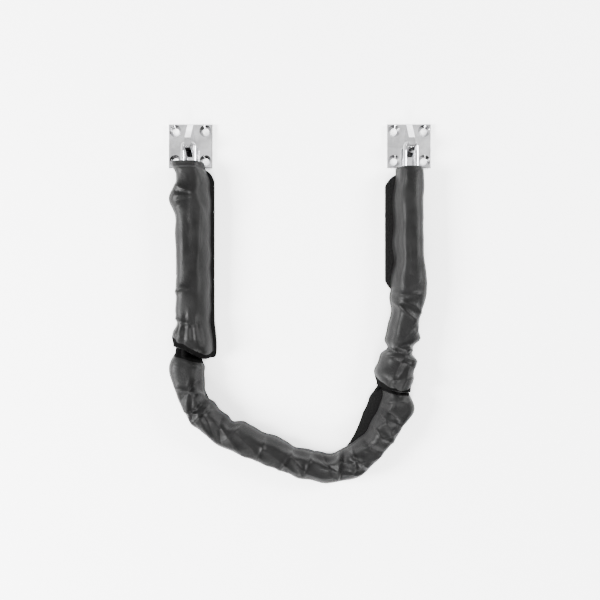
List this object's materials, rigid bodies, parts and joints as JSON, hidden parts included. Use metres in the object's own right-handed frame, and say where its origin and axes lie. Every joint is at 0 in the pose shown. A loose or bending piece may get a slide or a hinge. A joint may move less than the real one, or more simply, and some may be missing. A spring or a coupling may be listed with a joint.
{
  "type": "chain and spring door stop",
  "caption": "Door-restraint chain in a black leatherette sleeve, with a shock spring at each end and square screw-on plates with lugs.",
  "frame": {"origin": "middle of the left plate's back face, between its four screw holes", "axes": "+Z away from the mounting face, +Y towards the plates' top edges, +X from the left plate to the right one; the chain lies flat in a U towards -Y"},
  "size_m": [0.2277, 0.3088, 0.022],
  "materials": {
    "plate_chrome": "bright nickel-chrome plating, lightly brushed",
    "wire_chrome": "bright plated wire",
    "link_steel": "zinc-plated steel",
    "spring_steel": "plated spring wire",
    "leatherette": "semi-matt black vinyl leatherette with fine grain",
    "loop_strip": "napped black loop tape"
  },
  "bodies": {
    "left_plate": {"left_plate": "plate_chrome"},
    "left_hook": {"left_draw_hook": "wire_chrome", "left_spring": "spring_steel", "left_sleeve_mouth": "leatherette", "left_mouth_strip": "loop_strip"},
    "left_eye": {"left_draw_eye": "wire_chrome", "left_sleeve_body": "leatherette", "left_body_strip": "loop_strip"},
    "link_01": {"link_01": "link_steel", "sleeve_01": "leatherette"},
    "link_02": {"link_02": "link_steel", "sleeve_02": "leatherette"},
    "link_03": {"link_03": "link_steel", "sleeve_03": "leatherette"},
    "link_04": {"link_04": "link_steel", "sleeve_04": "leatherette"},
    "link_05": {"link_05": "link_steel", "sleeve_05": "leatherette"},
    "link_06": {"link_06": "link_steel", "sleeve_06": "leatherette"},
    "link_07": {"link_07": "link_steel", "sleeve_07": "leatherette"},
    "link_08": {"link_08": "link_steel", "sleeve_08": "leatherette"},
    "link_09": {"link_09": "link_steel", "sleeve_09": "leatherette"},
    "link_10": {"link_10": "link_steel", "sleeve_10": "leatherette"},
    "link_11": {"link_11": "link_steel", "sleeve_11": "leatherette"},
    "link_12": {"link_12": "link_steel", "sleeve_12": "leatherette"},
    "link_13": {"link_13": "link_steel", "sleeve_13": "leatherette"},
    "link_14": {"link_14": "link_steel", "sleeve_14": "leatherette"},
    "link_15": {"link_15": "link_steel", "sleeve_15": "leatherette"},
    "link_16": {"link_16": "link_steel", "sleeve_16": "leatherette"},
    "link_17": {"link_17": "link_steel", "sleeve_17": "leatherette"},
    "right_eye": {"right_draw_eye": "wire_chrome", "right_sleeve_body": "leatherette", "right_body_strip": "loop_strip"},
    "right_hook": {"right_draw_hook": "wire_chrome", "right_spring": "spring_steel", "right_sleeve_mouth": "leatherette", "right_mouth_strip": "loop_strip"},
    "right_plate": {"right_plate": "plate_chrome"}
  },
  "joints": [
    {"name": "left_lug_hinge", "type": "hinge", "parent": "left_plate", "child": "left_hook", "pos_m": [0, 0, 0.011], "axis": [-1, 0, 0], "range_deg": [0, 180], "deforming": ["left_sleeve_mouth", "left_mouth_strip"]},
    {"name": "left_spring_slide", "type": "slide", "parent": "left_hook", "child": "left_eye", "axis": [0, -1, 0], "range_m": [0, 0.018], "stiffness_N_per_m": 4000, "deforming": ["left_spring", "left_sleeve_mouth", "left_sleeve_body", "left_mouth_strip", "left_body_strip"]},
    {"name": "chain_pin_01", "type": "hinge", "parent": "left_eye", "child": "link_01", "pos_m": [0, -0.128, 0.011], "axis": [0, 0, 1], "range_deg": [-32, 32], "deforming": ["left_sleeve_body", "sleeve_01", "left_body_strip"]},
    {"name": "chain_pin_02", "type": "hinge", "parent": "link_01", "child": "link_02", "pos_m": [0, -0.1488, 0.011], "axis": [0, 0, -1], "range_deg": [-36, 28], "deforming": ["sleeve_01", "sleeve_02"]},
    {"name": "chain_pin_03", "type": "hinge", "parent": "link_02", "child": "link_03", "pos_m": [-0.00199, -0.17733, 0.011], "axis": [0, 0, 1], "range_deg": [-28, 36], "deforming": ["sleeve_02", "sleeve_03"]},
    {"name": "chain_pin_04", "type": "hinge", "parent": "link_03", "child": "link_04", "pos_m": [-0.00482, -0.19743, 0.011], "axis": [0, 0, -1], "range_deg": [-8, 56], "deforming": ["sleeve_03", "sleeve_04"]},
    {"name": "chain_pin_05", "type": "hinge", "parent": "link_04", "child": "link_05", "pos_m": [0.00306, -0.22492, 0.011], "axis": [0, 0, 1], "range_deg": [-60, 4], "deforming": ["sleeve_04", "sleeve_05"]},
    {"name": "chain_pin_06", "type": "hinge", "parent": "link_05", "child": "link_06", "pos_m": [0.01716, -0.23953, 0.011], "axis": [0, 0, -1], "range_deg": [-16, 48], "deforming": ["sleeve_05", "sleeve_06"]},
    {"name": "chain_pin_07", "type": "hinge", "parent": "link_06", "child": "link_07", "pos_m": [0.04193, -0.25383, 0.011], "axis": [0, 0, 1], "range_deg": [-39, 25], "deforming": ["sleeve_06", "sleeve_07"]},
    {"name": "chain_pin_08", "type": "hinge", "parent": "link_07", "child": "link_08", "pos_m": [0.06062, -0.26176, 0.011], "axis": [0, 0, -1], "range_deg": [-30, 34], "deforming": ["sleeve_07", "sleeve_08"]},
    {"name": "chain_pin_09", "type": "hinge", "parent": "link_08", "child": "link_09", "pos_m": [0.08732, -0.27201, 0.011], "axis": [0, 0, 1], "range_deg": [-38, 26], "deforming": ["sleeve_08", "sleeve_09"]},
    {"name": "chain_pin_10", "type": "hinge", "parent": "link_09", "child": "link_10", "pos_m": [0.10693, -0.27726, 0.011], "axis": [0, 0, -1], "range_deg": [-16, 48], "deforming": ["sleeve_09", "sleeve_10"]},
    {"name": "chain_pin_11", "type": "hinge", "parent": "link_10", "child": "link_11", "pos_m": [0.13552, -0.27676, 0.011], "axis": [0, 0, 1], "range_deg": [-62, 2], "deforming": ["sleeve_10", "sleeve_11"]},
    {"name": "chain_pin_12", "type": "hinge", "parent": "link_11", "child": "link_12", "pos_m": [0.15292, -0.26631, 0.011], "axis": [0, 0, -1], "range_deg": [-11, 53], "deforming": ["sleeve_11", "sleeve_12"]},
    {"name": "chain_pin_13", "type": "hinge", "parent": "link_12", "child": "link_13", "pos_m": [0.17053, -0.24377, 0.011], "axis": [0, 0, 1], "range_deg": [-46, 18], "deforming": ["sleeve_12", "sleeve_13"]},
    {"name": "chain_pin_14", "type": "hinge", "parent": "link_13", "child": "link_14", "pos_m": [0.17879, -0.22523, 0.011], "axis": [0, 0, -1], "range_deg": [-7, 57], "deforming": ["sleeve_13", "sleeve_14"]},
    {"name": "chain_pin_15", "type": "hinge", "parent": "link_14", "child": "link_15", "pos_m": [0.17829, -0.19663, 0.011], "axis": [0, 0, 1], "range_deg": [-23, 41], "deforming": ["sleeve_14", "sleeve_15"]},
    {"name": "chain_pin_16", "type": "hinge", "parent": "link_15", "child": "link_16", "pos_m": [0.18111, -0.17653, 0.011], "axis": [0, 0, -1], "range_deg": [-34, 30], "deforming": ["sleeve_15", "sleeve_16"]},
    {"name": "chain_pin_17", "type": "hinge", "parent": "link_16", "child": "link_17", "pos_m": [0.18608, -0.14836, 0.011], "axis": [0, 0, 1], "range_deg": [-32, 32], "deforming": ["sleeve_16", "sleeve_17"]},
    {"name": "chain_pin_18", "type": "hinge", "parent": "link_17", "child": "right_eye", "pos_m": [0.18969, -0.12788, 0.011], "axis": [0, 0, -1], "range_deg": [-22, 42], "deforming": ["sleeve_17", "right_sleeve_body", "right_body_strip"]},
    {"name": "right_spring_slide", "type": "slide", "parent": "right_eye", "child": "right_hook", "axis": [0, 1, 0], "range_m": [0, 0.018], "stiffness_N_per_m": 4000, "deforming": ["right_spring", "right_sleeve_mouth", "right_sleeve_body", "right_mouth_strip", "right_body_strip"]},
    {"name": "right_lug_hinge", "type": "hinge", "parent": "right_hook", "child": "right_plate", "pos_m": [0.18969, 0.00012, 0.011], "axis": [1, 0, 0], "range_deg": [0, 180], "deforming": ["right_sleeve_mouth", "right_mouth_strip"]}
  ]
}
